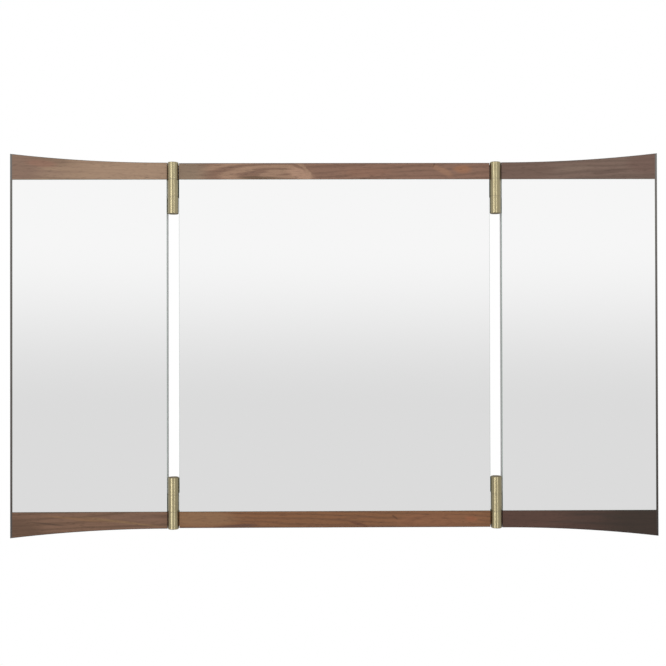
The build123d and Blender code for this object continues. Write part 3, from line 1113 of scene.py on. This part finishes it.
class FOLDING_MIRROR_OT_stage(bpy.types.Operator):
    """Lay the pale floor, light the studio and set up the camera"""

    bl_idname = "folding_mirror.stage"
    bl_label = "Stage"

    def execute(self, context):
        scene = context.scene
        sizes = scene.folding_mirror_stage
        scene.view_settings.view_transform = "Standard"

        # The world is white to the eye. The mirror sees a tall pale wall that is lit from above.
        world = bpy.data.worlds.new("White studio")
        world.use_nodes = True
        world.cycles.sampling_method = "NONE"
        scene.world = world
        tree = world.node_tree
        tree.nodes.clear()
        path = add_node(tree, "ShaderNodeLightPath")
        look = add_node(tree, "ShaderNodeTexCoord")
        height = add_node(tree, "ShaderNodeSeparateXYZ", {0: look.outputs["Generated"]})
        wall_light = add_node(
            tree,
            "ShaderNodeMapRange",
            {
                "Value": height.outputs[2],
                "From Min": math.sin(math.radians(WALL_DIM_TO)),
                "From Max": math.sin(math.radians(WALL_BRIGHT_FROM)),
                "To Min": WALL_DIM,
                "To Max": WALL_BRIGHT,
            },
            interpolation_type="SMOOTHSTEP",
        )
        white = add_node(tree, "ShaderNodeBackground", {"Strength": 1.0, "Color": (1, 1, 1, 1)})
        wall = add_node(
            tree,
            "ShaderNodeBackground",
            {"Strength": wall_light.outputs[0], "Color": (1, 1, 1, 1)},
        )
        fill = add_node(
            tree, "ShaderNodeBackground", {"Strength": FILL_LIGHT, "Color": (1, 1, 1, 1)}
        )
        mirrored = add_node(
            tree,
            "ShaderNodeMath",
            {0: path.outputs["Is Glossy Ray"], 1: path.outputs["Is Transmission Ray"]},
            operation="MAXIMUM",
        )
        unseen = add_node(
            tree,
            "ShaderNodeMixShader",
            {0: mirrored.outputs[0], 1: fill.outputs[0], 2: wall.outputs[0]},
        )
        seen = add_node(
            tree,
            "ShaderNodeMixShader",
            {0: path.outputs["Is Camera Ray"], 1: unseen.outputs[0], 2: white.outputs[0]},
        )
        add_node(tree, "ShaderNodeOutputWorld", {"Surface": seen.outputs[0]})

        # The floor keeps the mirror's shadow near it and fades to the white of the studio
        disc = bmesh.new()
        bmesh.ops.create_circle(
            disc,
            cap_ends=True,
            segments=96,
            radius=FLOOR_RADIUS,
            matrix=Matrix.Translation((0.0, 0.0, -sizes.floor_drop)),
        )
        floor_mesh = bpy.data.meshes.new("studio_floor")
        disc.to_mesh(floor_mesh)
        disc.free()
        floor = bpy.data.objects.new("studio_floor", floor_mesh)
        scene.collection.objects.link(floor)
        floor.visible_glossy = False
        material, tree, output = new_material("White painted studio floor")
        place = add_node(tree, "ShaderNodeTexCoord")
        flat = add_node(
            tree,
            "ShaderNodeVectorMath",
            {0: place.outputs["Object"], 1: (1.0, 1.0, 0.0)},
            operation="MULTIPLY",
        )
        distance = add_node(
            tree, "ShaderNodeVectorMath", {0: flat.outputs[0]}, operation="LENGTH"
        )
        far = add_node(
            tree,
            "ShaderNodeMapRange",
            {
                "Value": distance.outputs["Value"],
                "From Min": FLOOR_FADES_FROM,
                "From Max": FLOOR_WHITE_AT,
            },
            interpolation_type="SMOOTHSTEP",
        )
        path = add_node(tree, "ShaderNodeLightPath")
        share = add_node(
            tree,
            "ShaderNodeMath",
            {0: far.outputs[0], 1: path.outputs["Is Camera Ray"]},
            operation="MULTIPLY",
        )
        scuffs = add_node(
            tree,
            "ShaderNodeTexNoise",
            {"Vector": place.outputs["Object"], "Scale": 5.0, "Detail": 4.0},
        )
        paint_colour = add_node(
            tree,
            "ShaderNodeMix",
            {0: scuffs.outputs[0], 6: linear("#F0F0EF"), 7: linear("#F6F6F5")},
            data_type="RGBA",
        )
        paint = add_node(tree, "ShaderNodeBsdfDiffuse", {"Color": paint_colour.outputs[2]})
        white = add_node(tree, "ShaderNodeEmission", {"Color": (1, 1, 1, 1), "Strength": 1.0})
        mix = add_node(
            tree,
            "ShaderNodeMixShader",
            {0: share.outputs[0], 1: paint.outputs[0], 2: white.outputs[0]},
        )
        tree.links.new(mix.outputs[0], output.inputs[0])
        floor.data.materials.append(material)

        middle = (0.0, 0.0, MIDDLE_Z)
        soft_lamp("key_softbox", (-1.5, -2.7, 1.5), middle, 2.2, 1.6, 42.0)
        soft_lamp("fill_softbox", (1.9, -2.4, 0.4), middle, 1.8, 1.8, 12.0)
        soft_lamp("back_softbox", (1.2, 2.7, 1.6), middle, 2.2, 1.6, 40.0)
        brass = bpy.data.collections.new("brass_pieces")
        for corner in CORNERS:
            for part in ("wing_leaf", "centre_leaf", "washers", "end_plugs"):
                brass.objects.link(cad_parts[f"{corner}_{part}"])
        # Two upright softboxes stand to the left and right of the camera and shine in the barrels
        soft_lamp("left_strip", (-1.45, -2.10, MIDDLE_Z), middle, 0.60, 2.6, 21.0, brass)
        soft_lamp("right_strip", (0.70, -1.85, MIDDLE_Z), middle, 0.35, 2.6, 8.0, brass)

        camera = bpy.data.objects.new("camera", bpy.data.cameras.new("camera"))
        camera.data.lens = sizes.lens_mm
        camera.data.clip_start = 0.02
        camera.data.clip_end = 60.0
        camera.location = sizes.camera_place
        camera.rotation_euler = (
            Euler((0.0, 0.0, sizes.camera_turn)).to_matrix()
            @ Euler((math.pi / 2 + sizes.camera_tilt, 0.0, 0.0)).to_matrix()
            @ Euler((0.0, 0.0, sizes.camera_roll)).to_matrix()
        ).to_euler()
        scene.collection.objects.link(camera)
        scene.camera = camera
        return {"FINISHED"}


class FOLDING_MIRROR_OT_glass(bpy.types.Operator):
    """Silver the three mirror glasses and grind their edges"""

    bl_idname = "folding_mirror.glass"
    bl_label = "Mirror glass"

    def execute(self, context):
        fittings = context.scene.folding_mirror_fittings
        glass = mirror_glass(colour_of(fittings.silver), colour_of(fittings.glass_edge))
        dress(glass, *[f"{panel}_glass" for panel in PANELS])
        return {"FINISHED"}


class FOLDING_MIRROR_OT_rails(bpy.types.Operator):
    """Give each walnut rail the figure of its own board"""

    bl_idname = "folding_mirror.rails"
    bl_label = "Walnut rails"

    def execute(self, context):
        wood = context.scene.folding_mirror_wood
        for name, rail in RAILS.items():
            label = f"Black walnut, oiled, {name.replace('_', ' ')}"
            dress(walnut(label, colour_of(getattr(wood, name)), rail), name)
        return {"FINISHED"}


class FOLDING_MIRROR_OT_edge_strips(bpy.types.Operator):
    """Stain the thin strips on the wings' outer edges"""

    bl_idname = "folding_mirror.edge_strips"
    bl_label = "Edge strips"

    def execute(self, context):
        dress(stained_strip("Stained edging, left", "#686561", "#4C4541"), "left_edge_strip")
        dress(stained_strip("Stained edging, right", "#706C68", "#332C28"), "right_edge_strip")
        return {"FINISHED"}


class FOLDING_MIRROR_OT_boards(bpy.types.Operator):
    """Finish the boards, the mirror tape and the dowels"""

    bl_idname = "folding_mirror.boards"
    bl_label = "Boards, tape and dowels"

    def execute(self, context):
        board = lacquered_board(colour_of(context.scene.folding_mirror_fittings.board))
        tape = grained_plastic("White foam mirror tape", "#E2E1DC", "#D2D1CB", 0.8, 0.6, 0.1)
        dowel = beech("Beech dowel, grain upright", "Z")
        dress(board, *[f"{panel}_backboard" for panel in PANELS])
        dress(tape, *[f"{panel}_glass_tape" for panel in PANELS])
        dress(dowel, *[f"{panel}_dowels" for panel in PANELS])
        return {"FINISHED"}


class FOLDING_MIRROR_OT_hinges(bpy.types.Operator):
    """Finish the brass leaves, their pins and washers"""

    bl_idname = "folding_mirror.hinges"
    bl_label = "Hinges"

    def execute(self, context):
        colour = colour_of(context.scene.folding_mirror_fittings.brass)
        leaf = drawn_brass("Satin brass, drawn and lacquered", colour, "#5E5237", 0.31)
        washer = drawn_brass("Bronze thrust washer", linear("#8A7F63"), "#3E3626", 0.35)
        pin = plated_metal("Bright steel pin", "#B9BBBD", "#94979B", 0.25)
        for corner in CORNERS:
            dress(leaf, f"{corner}_wing_leaf", f"{corner}_centre_leaf", f"{corner}_end_plugs")
            dress(washer, f"{corner}_washers")
            dress(pin, f"{corner}_pin")
        return {"FINISHED"}


class FOLDING_MIRROR_OT_screws(bpy.types.Operator):
    """Finish the brass screws of the leaves and the zinc-plated screws"""

    bl_idname = "folding_mirror.screws"
    bl_label = "Screws"

    def execute(self, context):
        brass = plated_metal("Turned brass screw", "#C4A766", "#8F7745", 0.3)
        zinc = plated_metal("Zinc-plated steel screw", "#C3C8CC", "#A0A39B", 0.34)
        dress(brass, *[f"{panel}_leaf_screws" for panel in PANELS])
        dress(zinc, "panel_cleat_screws", *[f"{panel}_bumper_screws" for panel in PANELS])
        return {"FINISHED"}


class FOLDING_MIRROR_OT_cleats(bpy.types.Operator):
    """Finish the two halves of the hanging cleat"""

    bl_idname = "folding_mirror.cleats"
    bl_label = "Hanging cleat"

    def execute(self, context):
        dress(beech("Beech cleat, grain along it", "X"), "wall_cleat", "panel_cleat")
        return {"FINISHED"}


class FOLDING_MIRROR_OT_bumpers(bpy.types.Operator):
    """Finish the rubber bumpers"""

    bl_idname = "folding_mirror.bumpers"
    bl_label = "Bumpers"

    def execute(self, context):
        rubber = grained_plastic("Moulded black rubber", "#3A3A3B", "#262627", 0.72, 0.5, 0.05)
        dress(rubber, *[f"{panel}_bumpers" for panel in PANELS])
        return {"FINISHED"}


class FOLDING_MIRROR_PT_panel(bpy.types.Panel):
    """Lists the mirror's pieces, colours and stage"""

    bl_idname = "FOLDING_MIRROR_PT_panel"
    bl_label = "Folding mirror"
    bl_space_type = "VIEW_3D"
    bl_region_type = "UI"
    bl_category = "Folding mirror"

    def draw(self, context):
        scene = context.scene
        for operator in OPERATORS:
            self.layout.operator(operator.bl_idname)
        for group in (
            scene.folding_mirror_wood,
            scene.folding_mirror_fittings,
            scene.folding_mirror_stage,
        ):
            box = self.layout.box()
            for name in group.__annotations__:
                box.prop(group, name)


GROUPS = {
    "folding_mirror_wood": WoodColours,
    "folding_mirror_fittings": FittingColours,
    "folding_mirror_stage": StageSizes,
}
OPERATORS = (
    FOLDING_MIRROR_OT_stage,
    FOLDING_MIRROR_OT_glass,
    FOLDING_MIRROR_OT_rails,
    FOLDING_MIRROR_OT_edge_strips,
    FOLDING_MIRROR_OT_boards,
    FOLDING_MIRROR_OT_hinges,
    FOLDING_MIRROR_OT_screws,
    FOLDING_MIRROR_OT_cleats,
    FOLDING_MIRROR_OT_bumpers,
)


def register():
    for name, group in GROUPS.items():
        bpy.utils.register_class(group)
        setattr(bpy.types.Scene, name, PointerProperty(type=group))
    for operator in OPERATORS:
        bpy.utils.register_class(operator)
    bpy.utils.register_class(FOLDING_MIRROR_PT_panel)


def unregister():
    bpy.utils.unregister_class(FOLDING_MIRROR_PT_panel)
    for operator in reversed(OPERATORS):
        bpy.utils.unregister_class(operator)
    for name, group in GROUPS.items():
        delattr(bpy.types.Scene, name)
        bpy.utils.unregister_class(group)


def main():
    """Runs every operator in order."""
    register()
    bpy.ops.folding_mirror.stage()
    bpy.ops.folding_mirror.glass()
    bpy.ops.folding_mirror.rails()
    bpy.ops.folding_mirror.edge_strips()
    bpy.ops.folding_mirror.boards()
    bpy.ops.folding_mirror.hinges()
    bpy.ops.folding_mirror.screws()
    bpy.ops.folding_mirror.cleats()
    bpy.ops.folding_mirror.bumpers()


if __name__ == "__main__":
    main()
